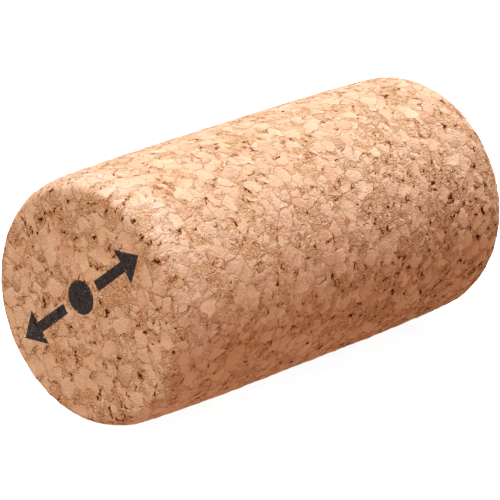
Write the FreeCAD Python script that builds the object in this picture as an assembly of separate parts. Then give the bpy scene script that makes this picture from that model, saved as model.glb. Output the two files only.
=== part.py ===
"""Massage roller turned from one billet of agglomerated cork, with a mark printed on one end.

The roller lies on its side. X runs along its axis, from the printed end at -X to the plain
end at +X, and Z is up. The origin is the middle of the roller, on its axis. Millimetres.
"""

import FreeCAD, Part
import math
import os

# Driving dimensions of the roller
LENGTH = 100.0
DIAMETER = 52.0
LAND_LENGTH = 40.0      # straight stretch in the middle, which it rolls on
EASE_DROP = 0.55        # how far the sanded side has fallen where the edge rounding begins
EDGE_LENGTH = 4.1       # edge rounding, measured along the axis
FACE_DIAMETER = 46.8    # flat end face inside the rounding
REST_WIDTH = 4.0        # gap between the proud granules that it sits on, a flat 0.08 mm deep

# Driving dimensions of the printed mark: a roller seen end on, with an arrow each way
INK_DEPTH = 0.12        # the ink fills the open grain to this depth, flush with the face
MARK_TURN = 38.0        # degrees that the mark is turned up from level, seen facing the end
MARK_Y = 1.0            # centre of the mark on the end face
MARK_Z = 1.5
DOT_DIAMETER = 7.0
ARROW_TIP = 20.0        # from the mark's centre to an arrow's tip
ARROW_HEAD = 5.4        # length of an arrow's head
HEAD_WIDTH = 7.6
SHAFT_WIDTH = 2.2
SHAFT_START = 5.4       # from the mark's centre to an arrow's tail

RADIUS = DIAMETER / 2
HALF = LENGTH / 2
FACE_RADIUS = FACE_DIAMETER / 2
REST_Z = -math.sqrt(RADIUS ** 2 - (REST_WIDTH / 2) ** 2)


def point(x, y, z=0.0):
    return FreeCAD.Vector(x, y, z)


def tangent_arc(start, angle, end):
    """The arc that leaves start at the given angle below the axis and ends at end."""
    chord = end - start
    chord_angle = math.atan2(-chord.y, chord.x)
    radius = chord.Length / (2 * math.sin(chord_angle - angle))
    centre = start - point(math.sin(angle), math.cos(angle)) * radius
    middle = centre + point(math.sin(chord_angle), math.cos(chord_angle)) * radius
    return Part.Arc(start, middle, end).toShape()


def roller_profile():
    """Half the roller's outline, in the XY plane: land, ease, edge rounding and face."""
    land_end = LAND_LENGTH / 2
    ease_end = HALF - EDGE_LENGTH
    ease_radius = ((ease_end - land_end) ** 2 + EASE_DROP ** 2) / (2 * EASE_DROP)
    ease_angle = math.asin((ease_end - land_end) / ease_radius)
    a = point(0, 0)
    b = point(0, RADIUS)
    c = point(land_end, RADIUS)
    d = point(ease_end, RADIUS - EASE_DROP)
    e = point(HALF, FACE_RADIUS)
    f = point(HALF, 0)
    edges = [
        Part.makeLine(a, b),
        Part.makeLine(b, c),
        tangent_arc(c, 0.0, d),
        tangent_arc(d, ease_angle, e),
        Part.makeLine(e, f),
        Part.makeLine(f, a),
    ]
    return Part.Face(Part.Wire(edges))


def cork_blank():
    """The roller before it is printed: half of it turned, then mirrored, and sat on its flat."""
    half = roller_profile().revolve(point(0, 0), point(1, 0), 360)
    other = half.mirror(point(0, 0), point(1, 0))
    turned = half.fuse(other).removeSplitter()
    below_rest = Part.makeBox(LENGTH, DIAMETER, RADIUS, point(-HALF, -RADIUS, REST_Z - RADIUS))
    return turned.cut(below_rest).Solids[0]


def arrow_outline(side):
    """One arrow of the mark, along the mark's own length, pointing to side."""
    half_shaft = SHAFT_WIDTH / 2
    half_head = HEAD_WIDTH / 2
    neck = ARROW_TIP - ARROW_HEAD
    outline = [
        (SHAFT_START, -half_shaft),
        (neck, -half_shaft),
        (neck, -half_head),
        (ARROW_TIP, 0),
        (neck, half_head),
        (neck, half_shaft),
        (SHAFT_START, half_shaft),
    ]
    corners = [point(0, side * along, across) for along, across in outline]
    return Part.Face(Part.makePolygon(corners + corners[:1]))


def printed_mark():
    """The ink: a dot between two arrows, sunk INK_DEPTH into the end face at -X."""
    dot = Part.Face(Part.Wire(Part.makeCircle(DOT_DIAMETER / 2, point(0, 0), point(1, 0))))
    faces = [dot, arrow_outline(1), arrow_outline(-1)]
    solids = []
    for face in faces:
        solid = face.extrude(point(INK_DEPTH, 0))
        solid.rotate(point(0, 0), point(1, 0), -MARK_TURN)
        solid.translate(point(-HALF, MARK_Y, MARK_Z))
        solids.append(solid)
    return Part.makeCompound(solids)


mark = printed_mark()
parts = {
    "cork_roller": cork_blank().cut(mark),
    "printed_mark": mark,
}
os.makedirs("parts", exist_ok=True)
for node, shape in parts.items():
    shape.exportStep(f"parts/{node}.step")
    print(node, len(shape.Solids), "solids", round(shape.Volume, 1), "mm3", shape.isValid())
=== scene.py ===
import math

import bmesh
import bpy
from mathutils import Matrix, Vector


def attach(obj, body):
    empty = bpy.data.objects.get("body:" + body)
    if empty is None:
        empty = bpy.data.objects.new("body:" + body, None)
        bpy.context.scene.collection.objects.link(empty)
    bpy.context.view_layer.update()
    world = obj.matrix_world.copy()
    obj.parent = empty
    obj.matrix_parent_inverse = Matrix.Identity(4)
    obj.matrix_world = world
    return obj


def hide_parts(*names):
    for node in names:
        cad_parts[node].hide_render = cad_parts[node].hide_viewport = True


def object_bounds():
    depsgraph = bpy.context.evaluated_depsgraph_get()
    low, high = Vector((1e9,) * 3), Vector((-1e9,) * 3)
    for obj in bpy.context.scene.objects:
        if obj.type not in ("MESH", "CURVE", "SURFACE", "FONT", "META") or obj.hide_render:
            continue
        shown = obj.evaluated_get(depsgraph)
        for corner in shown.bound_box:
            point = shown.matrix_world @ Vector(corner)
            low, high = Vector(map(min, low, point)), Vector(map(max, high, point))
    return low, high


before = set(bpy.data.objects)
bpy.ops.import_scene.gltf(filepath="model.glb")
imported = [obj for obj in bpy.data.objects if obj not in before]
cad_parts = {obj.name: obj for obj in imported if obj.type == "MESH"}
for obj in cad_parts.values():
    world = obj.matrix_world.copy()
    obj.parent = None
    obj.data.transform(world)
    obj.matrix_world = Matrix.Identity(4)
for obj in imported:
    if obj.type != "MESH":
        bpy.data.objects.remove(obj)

cad_low, cad_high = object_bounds()


# ---- The cork roller --------------------------------------------------------------------
# One block of cork chips pressed with a binder, then turned and sanded. Large chips lie
# among middling ones and crumbs. Gaps show where the binder missed or sanding has pulled
# a crumb out.

end_outline = [     # from the middle of the printed end to the straight land: along, and radius
    (-0.05, 0.0),
    (-0.05, 0.0234),
    (-0.0491, 0.02433),
    (-0.0478, 0.02499),
    (-0.0459, 0.02545),
    (-0.0395, 0.02571),
    (-0.0300, 0.02592),
    (-0.0200, 0.0260),
]
other_outline = [(-along, radius) for along, radius in reversed(end_outline)]
turning_steps = 180
same_point = 1e-6
mesh_spacing = 0.00052      # fine enough to carry a crumb

body_mesh = bpy.data.meshes.new("cork_roller_body")
shape = bmesh.new()
outline = [shape.verts.new((along, 0, radius)) for along, radius in end_outline + other_outline]
sides = [shape.edges.new(pair) for pair in zip(outline, outline[1:])]
bmesh.ops.spin(
    shape, geom=outline + sides, cent=(0, 0, 0), axis=(1, 0, 0), angle=math.tau,
    steps=turning_steps, use_merge=True,
)
bmesh.ops.remove_doubles(shape, verts=shape.verts, dist=same_point)
bmesh.ops.bisect_plane(
    shape, geom=shape.verts[:] + shape.edges[:] + shape.faces[:], plane_co=(0, 0, cad_low.z),
    plane_no=(0, 0, 1), clear_inner=True,
)
bmesh.ops.holes_fill(shape, edges=shape.edges)
bmesh.ops.recalc_face_normals(shape, faces=shape.faces)
shape.to_mesh(body_mesh)
shape.free()
body = bpy.data.objects.new("cork_roller_body", body_mesh)
bpy.context.scene.collection.objects.link(body)


def settle(piece):
    """Makes the piece's modifiers part of its mesh."""
    graph = bpy.context.evaluated_depsgraph_get()
    final = bpy.data.meshes.new_from_object(piece.evaluated_get(graph), depsgraph=graph)
    piece.modifiers.clear()
    piece.data = final


even = body.modifiers.new("even", "REMESH")
even.mode = "VOXEL"
even.voxel_size = mesh_spacing
settle(body)


class Wire:
    """One output of a node tree. Python's sums on wires add Math nodes to the tree."""

    def __init__(self, tree, socket):
        self.tree = tree
        self.socket = socket

    def node(self, kind, settings=(), inputs=(), out=0):
        """A wire from output out of a new node: its settings are made first, then its inputs."""
        made = self.tree.nodes.new(kind)
        for name, value in dict(settings).items():
            if name == "stops":
                ramp = made.color_ramp.elements
                while len(ramp) < len(value):
                    ramp.new(0.5)
                for stop, (position, colour) in zip(ramp, value):
                    stop.position = position
                    stop.color = (*colour, 1)
            else:
                setattr(made, name, value)
        for name, value in dict(inputs).items():
            if isinstance(value, Wire):
                self.tree.links.new(value.socket, made.inputs[name])
            else:
                made.inputs[name].default_value = value
        return Wire(self.tree, made.outputs[out])

    def sum(self, operation, *values):
        return self.node("ShaderNodeMath", {"operation": operation}, enumerate(values))

    def __add__(self, other):
        return self.sum("ADD", self, other)

    def __sub__(self, other):
        return self.sum("SUBTRACT", self, other)

    def __rsub__(self, other):
        return self.sum("SUBTRACT", other, self)

    def __mul__(self, other):
        return self.sum("MULTIPLY", self, other)

    def __gt__(self, other):
        return self.sum("GREATER_THAN", self, other)

    def __lt__(self, other):
        return self.sum("LESS_THAN", self, other)

    __radd__ = __add__
    __rmul__ = __mul__

    def least(self, other):
        return self.sum("MINIMUM", self, other)

    def most(self, other):
        return self.sum("MAXIMUM", self, other)

    def fade(self, start, end):
        """0 at start, 1 at end, and smooth between; start may be the larger of the two."""
        values = {"Value": self, "From Min": start, "From Max": end}
        return self.node("ShaderNodeMapRange", {"interpolation_type": "SMOOTHSTEP"}, values)

    def vector(self, operation, other):
        """Vector Math on this wire and another, which may be a number for SCALE."""
        values = {0: self, ("Scale" if operation == "SCALE" else 1): other}
        out = "Value" if operation == "DOT_PRODUCT" else 0
        return self.node("ShaderNodeVectorMath", {"operation": operation}, values, out)

    def part(self, axis):
        """One of a vector's or colour's three numbers."""
        return self.node("ShaderNodeSeparateXYZ", inputs={0: self}, out=axis)

    def mix_vector(self, other, share):
        """This vector where share is 0, and other where it is 1."""
        values = {0: share, 4: self, 5: other}
        return self.node("ShaderNodeMix", {"data_type": "VECTOR"}, values, out=1)

    def mix_colour(self, other, share, blend="MIX"):
        """This colour where share is 0, and other where it is 1."""
        values = {0: share, 6: self, 7: other}
        settings = {"data_type": "RGBA", "blend_type": blend}
        return self.node("ShaderNodeMix", settings, values, out=2)

    def noise(self, size, detail=2.0, rough=0.5, out=0):
        """Smooth noise at this place, 0 to 1, whose lumps are about size metres across."""
        values = {"Vector": self, "Scale": 1 / size, "Detail": detail, "Roughness": rough}
        return self.node("ShaderNodeTexNoise", inputs=values, out=out)

    def chips(self, size):
        """Cells size metres across: three random numbers for each, metres to its edge, and
        the height in metres of its face, which leans at random about its middle."""
        values = {"Vector": self, "Scale": 1 / size}
        luck = self.node("ShaderNodeTexVoronoi", {"feature": "F1"}, values, "Color")
        middle = Wire(self.tree, luck.socket.node.outputs["Position"])
        edge = self.node("ShaderNodeTexVoronoi", {"feature": "DISTANCE_TO_EDGE"}, values)
        turn = luck.vector("SUBTRACT", (0.5, 0.5, 0.5))
        return luck, edge * size, self.vector("SUBTRACT", middle).vector("DOT_PRODUCT", turn)


large_chip, middle_chip, crumb = 0.0029, 0.0017, 0.00070
edge_bend, edge_rag = 0.0026, 0.0006    # how far apart, and how far, a chip's edge wanders
crumbly_patch, open_patch = 0.006, 0.0016
near_face, end_face = -0.0485, -0.0499      # along the roller, at the printed end
gap_width, loose_gap_width = 0.00014, 0.00018
relief_depth = 0.00030      # metres for a height of 1


def pressed_cork(place, soft=0.0):
    """The chips at a place in the block. Each value is 0 to 1, apart from height, and loose,
    which reaches 1.2. Edges are spread by soft, in metres, for a mesh too coarse for the
    finest gaps."""
    # Looser towards the plain end and down the sides, and on the printed face
    along = place.part(0)
    side = place.part(2).fade(0.021, 0.002)
    loose = along.fade(-0.043, 0.030) * (side * 0.8 + 0.4)
    loose = loose.most(along.fade(near_face, end_face) * 0.6)

    # Chips of three sizes with wandering edges, crumbs filling in where no whole chip lies
    half = (0.5, 0.5, 0.5)
    bent = place.noise(edge_bend, 2, 0.5, "Color").vector("SUBTRACT", half)
    ragged = place.noise(edge_rag, 2, 0.6, "Color").vector("SUBTRACT", half)
    place = place.vector("ADD", bent.vector("SCALE", edge_bend))
    place = place.vector("ADD", ragged.vector("SCALE", edge_rag))
    luck_l, edge_l, lean_l = place.chips(large_chip)
    luck_m, edge_m, lean_m = place.chips(middle_chip)
    luck_s, edge_s, lean_s = place.chips(crumb)
    torn = place.noise(crumbly_patch, 2, 0.5).fade(0.42, 0.62) * 0.18 + loose * 0.08
    whole_l = luck_l.part(0) > torn + 0.49
    whole_m = luck_m.part(0) > torn + 0.45
    crumbs = (1 - whole_l) * (1 - whole_m)
    luck = luck_s.mix_vector(luck_m, whole_m).mix_vector(luck_l, whole_l)
    edge = edge_l.least(edge_m.least(edge_s.most(whole_m)).most(whole_l))
    lean = lean_m * (1 - whole_l) * whole_m + lean_l * whole_l

    # Gaps open here and there along the edges, and each chip sits at a level of its own
    patch = place.noise(open_patch, 2, 0.6)
    opening = patch.fade(0.57, 0.80) * (loose * loose_gap_width + gap_width)
    gap = (edge - opening).fade(0.00001 + soft, -0.00005 - soft)
    bits = lean_s * 1000 + luck_s.part(1) * edge_s.fade(0.0, 0.0002) * 0.24
    level = luck.part(2) * edge.fade(0.0, 0.00028) * 0.28
    level = level + bits * (crumbs * (loose * 0.5 + 0.4) + 0.15)
    sunk = gap * (opening * 1800 + 0.08) + crumbs * 0.06 + 0.20
    return {
        "tone": luck.part(0),
        "tint": luck.part(1),
        "odd": luck.part(2),
        "crumbs": crumbs,
        "gap": gap,
        "loose": loose,
        # painted shade in a brown band along the edges where gaps open
        "gap_shade": (edge - opening).fade(0.00024, 0.00002) * patch.fade(0.50, 0.62),
        # painted shade along the crevices between crumbs
        "crevice_shade": edge_s.fade(0.00014, 0.0) * crumbs,
        "height": level + lean * 400 - sunk,
    }


relief = bpy.data.node_groups.new("chip_relief", "GeometryNodeTree")
relief.interface.new_socket("Mesh", in_out="INPUT", socket_type="NodeSocketGeometry")
relief.interface.new_socket("Mesh", in_out="OUTPUT", socket_type="NodeSocketGeometry")
turned = Wire(relief, relief.nodes.new("NodeGroupInput").outputs[0])
place = turned.node("GeometryNodeInputPosition")
outwards = turned.node("GeometryNodeInputNormal")
depth = pressed_cork(place, soft=0.0001)["height"] * relief_depth
sanded = turned.node("GeometryNodeSetPosition", inputs={
    "Geometry": turned, "Offset": outwards.vector("SCALE", depth),
})
relief.links.new(sanded.socket, relief.nodes.new("NodeGroupOutput").inputs[0])
body.modifiers.new("relief", "NODES").node_group = relief
settle(body)
for face in body.data.polygons:
    face.use_smooth = True

chip_tones = [      # from the darkest chips to the palest
    (0.20, (0.62, 0.405, 0.255)),
    (0.45, (0.67, 0.460, 0.298)),
    (0.65, (0.71, 0.500, 0.333)),
    (0.85, (0.76, 0.555, 0.385)),
]
bark_brown, pale_chip = (0.36, 0.17, 0.085, 1), (0.80, 0.62, 0.42, 1)
# A paler band on the rounding of the printed end, and painted light where the relief stands proud
pale_band_cork, raised_light_cork = (0.85, 0.65, 0.51, 1), (0.82, 0.62, 0.46, 1)
# Painted shadow: the near-black inside the gaps
gap_shadow_brown = (0.09, 0.018, 0.004, 1)
# These multiply the colour beneath
rosy_tint, straw_tint, crumb_tint = (1.0, 0.87, 0.84, 1), (0.97, 1.0, 0.88, 1), (1.0, 0.95, 0.85, 1)
# Of the next four, the first darkens specks over the crumb zones and the other three are painted
# shade: in recesses, along the crevices between crumbs, and round the gaps
crumb_speck_tint, recess_shade_tint = (0.75, 0.55, 0.40, 1), (0.70, 0.48, 0.34, 1)
crevice_shade_tint, gap_shade_tint = (0.80, 0.62, 0.48, 1), (0.70, 0.42, 0.24, 1)
fine_grain, speck_grain = 0.0007, 0.0005
tint_patch, pale_band_patch = 0.012, 0.005


def cork_colour(place, seen):
    """The colour of the chips and of the gaps between them, with painted shadow in the gaps,
    painted shade in the recesses, along the crevices and round the gaps, and painted light where
    the relief stands proud.
    """
    tone = seen["tone"] * 0.45 + place.noise(fine_grain, 3, 0.7) * 0.40 + seen["odd"] * 0.15
    tone = tone + seen["odd"] * seen["crumbs"] * 0.35
    colour = tone.node("ShaderNodeValToRGB", {"stops": chip_tones}, {0: tone})

    tint = seen["tint"] * 0.7 + place.noise(tint_patch, 2, 0.6) * 0.9 - 0.30
    rosy = tint.fade(0.55, 0.85)
    straw = tint.fade(0.30, 0.05)
    # Darker in specks over the crumb zones
    crumb_specks = seen["crumbs"] * place.noise(speck_grain, 3, 0.7).fade(0.50, 0.75)
    colour = colour.mix_colour(rosy_tint, rosy * 0.6, "MULTIPLY")
    colour = colour.mix_colour(straw_tint, straw * 0.5, "MULTIPLY")
    colour = colour.mix_colour(crumb_tint, seen["crumbs"], "MULTIPLY")
    colour = colour.mix_colour(crumb_speck_tint, crumb_specks * 0.30, "MULTIPLY")

    bark = (seen["odd"] > 0.93) * (seen["tint"] < 0.3)
    colour = colour.mix_colour(bark_brown, bark * 0.4)
    colour = colour.mix_colour(pale_chip, (seen["odd"] < 0.07) * 0.5)

    # A paler band, in patches, all the way round the rounding of the printed end
    along = place.part(0)
    pale_band = along.fade(-0.039, -0.0435) * along.fade(end_face, near_face)
    pale_band = pale_band * place.noise(pale_band_patch, 2, 0.6).fade(0.36, 0.54)
    colour = colour.mix_colour(pale_band_cork, pale_band * 0.5)

    # Painted shade: darker and warmer where the relief sinks, more so where the cork is loose
    recess_shade = seen["height"].fade(-0.12, -0.36) * (seen["loose"] * 0.30 + 0.1)
    # Painted light: paler where the relief stands proud, more so where the cork is loose
    raised_light = seen["height"].fade(-0.04, 0.20) * (seen["loose"] * 0.50 + 0.1)
    colour = colour.mix_colour(raised_light_cork, raised_light)
    colour = colour.mix_colour(recess_shade_tint, recess_shade, "MULTIPLY")
    # Painted shade darkens the crevices between crumbs
    colour = colour.mix_colour(crevice_shade_tint, seen["crevice_shade"] * 0.3, "MULTIPLY")
    # Painted shade in a brown band round the open gaps
    colour = colour.mix_colour(gap_shade_tint, seen["gap_shade"] * 0.6, "MULTIPLY")
    # Painted shadow fills the gaps
    return colour.mix_colour(gap_shadow_brown, seen["gap"])


bump_depth = 0.0008


def cork_bump(place, seen):
    """The relief that is too fine for the mesh."""
    roughness = seen["crumbs"] * 0.25 + seen["loose"] * 0.45 + 0.2
    grain = place.noise(speck_grain, 2, 0.7) * roughness
    return grain.node("ShaderNodeBump", inputs={
        "Height": seen["height"] + grain, "Distance": bump_depth, "Strength": 1.0,
    })


cork = bpy.data.materials.new("pressed_cork")
cork.use_nodes = True
tree = cork.node_tree
shader = tree.nodes["Principled BSDF"]
place = Wire(tree, tree.nodes.new("ShaderNodeTexCoord").outputs["Object"])
seen = pressed_cork(place)
tree.links.new(cork_colour(place, seen).socket, shader.inputs["Base Color"])
tree.links.new(cork_bump(place, seen).socket, shader.inputs["Normal"])
shader.inputs["Roughness"].default_value = 0.7
shader.inputs["Specular IOR Level"].default_value = 0.0
body.data.materials.clear()
body.data.materials.append(cork)

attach(body, "root")
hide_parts("cork_roller")


# ---- The printed mark -------------------------------------------------------------------
# A dot between two arrows in dark ink, printed on one end. The film follows the chips, is
# thin over the gaps, and has worn to show the cork in specks.

mark_turn = math.radians(38)
mark_middle = Vector((0, 0.001, 0.0015))
dot_across = 0.007
dot_sides = 96
arrow_tail, arrow_neck, arrow_tip = 0.0054, 0.0146, 0.0200      # from the mark's middle
shaft_width, head_width = 0.0022, 0.0076
half_arrow = [
    (arrow_tail, shaft_width / 2),
    (arrow_neck, shaft_width / 2),
    (arrow_neck, head_width / 2),
    (arrow_tip, 0.0),
]
film_front, film_back, film_proud = -0.0505, -0.04968, 0.00002

mark_mesh = bpy.data.meshes.new("printed_mark_film")
shape = bmesh.new()
bmesh.ops.create_circle(shape, cap_ends=True, segments=dot_sides, radius=dot_across / 2)
for side in (1, -1):
    corners = half_arrow + [(along, -across) for along, across in reversed(half_arrow[:-1])]
    shape.faces.new([shape.verts.new((side * along, across, 0)) for along, across in corners])
raised = bmesh.ops.extrude_face_region(shape, geom=shape.faces[:])["geom"]
raised = [item for item in raised if isinstance(item, bmesh.types.BMVert)]
bmesh.ops.translate(shape, verts=raised, vec=(0, 0, film_back - film_front))
bmesh.ops.recalc_face_normals(shape, faces=shape.faces)
onto_end = Matrix(((0, 0, 1), (-1, 0, 0), (0, 1, 0))).to_4x4()
upward = Matrix.Rotation(mark_turn, 4, "Z")
bmesh.ops.transform(shape, matrix=onto_end @ upward, verts=shape.verts)
bmesh.ops.translate(shape, verts=shape.verts, vec=mark_middle + Vector((film_front, 0, 0)))
shape.to_mesh(mark_mesh)
shape.free()
mark = bpy.data.objects.new("printed_mark_film", mark_mesh)
bpy.context.scene.collection.objects.link(mark)

# The film is the mark cut to the relief of the printed end, and stands film_proud of it
cover_mesh = body.data.copy()
cover_mesh.materials.clear()
cover_mesh.transform(Matrix.Translation((-film_proud, 0, 0)))
shape = bmesh.new()
shape.from_mesh(cover_mesh)
bmesh.ops.bisect_plane(
    shape, geom=shape.verts[:] + shape.edges[:] + shape.faces[:],
    plane_co=(near_face, 0, 0), plane_no=(1, 0, 0), clear_outer=True,
)
bmesh.ops.holes_fill(shape, edges=shape.edges)
shape.to_mesh(cover_mesh)
shape.free()
cover = bpy.data.objects.new("cover", cover_mesh)
bpy.context.scene.collection.objects.link(cover)
cut = mark.modifiers.new("follow", "BOOLEAN")
cut.operation = "INTERSECT"
cut.solver = "EXACT"
cut.object = cover
settle(mark)
bpy.data.objects.remove(cover)
for face in mark.data.polygons:
    face.use_smooth = False

ink_tones = [(0.3, (0.010, 0.006, 0.005)), (0.7, (0.022, 0.014, 0.011))]
ink_blotch = 0.0012

ink = bpy.data.materials.new("dark_ink")
ink.use_nodes = True
tree = ink.node_tree
shader = tree.nodes["Principled BSDF"]
place = Wire(tree, tree.nodes.new("ShaderNodeTexCoord").outputs["Object"])
seen = pressed_cork(place)
worn = place.noise(speck_grain, 3, 0.7).fade(0.62, 0.72) * 0.6
worn = worn.most(seen["gap"].fade(0.2, 0.8) * 0.5)
blotch = place.noise(ink_blotch, 3, 0.6)
printed = blotch.node("ShaderNodeValToRGB", {"stops": ink_tones}, {0: blotch})
printed = printed.mix_colour(cork_colour(place, seen), worn)
tree.links.new(printed.socket, shader.inputs["Base Color"])
tree.links.new(cork_bump(place, seen).socket, shader.inputs["Normal"])
shader.inputs["Roughness"].default_value = 0.6
shader.inputs["Specular IOR Level"].default_value = 0.15
mark.data.materials.clear()
mark.data.materials.append(ink)

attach(mark, "root")
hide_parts("printed_mark")


# ---- The table, the lights and the camera -----------------------------------------------
# A white table with a softbox high on the right, a second one on the left, and warm room
# light. The lens is long, so the roller's two ends look nearly the same size.

scene = bpy.context.scene
scene.view_settings.view_transform = "Standard"

table_reach = 6.0
floor_mesh = bpy.data.meshes.new("table")
shape = bmesh.new()
bmesh.ops.create_grid(shape, x_segments=1, y_segments=1, size=table_reach)
bmesh.ops.translate(shape, verts=shape.verts, vec=(0, 0, cad_low.z))
shape.to_mesh(floor_mesh)
shape.free()
table = bpy.data.objects.new("table", floor_mesh)
paint = bpy.data.materials.new("white_table")
paint.use_nodes = True
# The table glows, which keeps the shadow pale and takes the warmth of the room out of it
shader = paint.node_tree.nodes["Principled BSDF"]
shader.inputs["Base Color"].default_value = (0.9, 0.9, 0.9, 1)
shader.inputs["Roughness"].default_value = 0.9
shader.inputs["Emission Color"].default_value = (0.74, 0.93, 1, 1)
shader.inputs["Emission Strength"].default_value = 0.90
floor_mesh.materials.append(paint)
scene.collection.objects.link(table)
table.visible_diffuse = False       # so the table throws no light back onto the roller
table.visible_shadow = False


def softbox(name, place, size, watts, colour):
    """A square area light at place that faces the roller."""
    light = bpy.data.lights.new(name, "AREA")
    light.size = size
    light.energy = watts
    light.color = colour
    lamp = bpy.data.objects.new(name, light)
    lamp.location = place
    lamp.rotation_mode = "QUATERNION"
    lamp.rotation_quaternion = Vector(place).to_track_quat("Z", "Y")
    scene.collection.objects.link(lamp)


def direction(azimuth, elevation, distance):
    """A place at that distance from the roller's middle; azimuth 0 is in front of its side."""
    a, e = math.radians(azimuth), math.radians(elevation)
    return distance * Vector((math.sin(a) * math.cos(e), -math.cos(a) * math.cos(e), math.sin(e)))


softbox_away, softbox_size = 0.7, 0.45
softbox("right_key", direction(90, 65, softbox_away), softbox_size, 5.25, (1.0, 1.14, 1.30))
softbox("left_fill", direction(-90, 40, softbox_away), softbox_size, 2.45, (1.0, 1.10, 1.08))

# The room light is warm, and the camera sees a plain white backdrop behind the table
world = bpy.data.worlds.new("studio")
world.use_nodes = True
scene.world = world
tree = world.node_tree
room = tree.nodes["Background"]
room.inputs["Color"].default_value = (1.0, 0.58, 0.41, 1)
room.inputs["Strength"].default_value = 0.64
glow = Wire(tree, room.outputs[0])
backdrop = glow.node("ShaderNodeBackground", inputs={"Color": (1, 1, 1, 1), "Strength": 1.0})
faced = glow.node("ShaderNodeLightPath", out="Is Camera Ray")
both = glow.node("ShaderNodeMixShader", inputs={0: faced, 1: glow, 2: backdrop})
tree.links.new(both.socket, tree.nodes["World Output"].inputs["Surface"])

camera_distance = 0.8055
aside, below = 0.00126, 0.00098     # how far the camera is off the line to the roller's middle
back = direction(-47.6, 18.86, 1)
facing = (-back).to_track_quat("-Z", "Y")
camera = bpy.data.objects.new("camera", bpy.data.cameras.new("camera"))
camera.rotation_mode = "QUATERNION"
camera.rotation_quaternion = facing
camera.location = back * camera_distance - facing @ Vector((aside, below, 0))
camera.data.lens = 283.1
camera.data.sensor_width = 36
camera.data.clip_start = 0.01
scene.collection.objects.link(camera)
scene.camera = camera
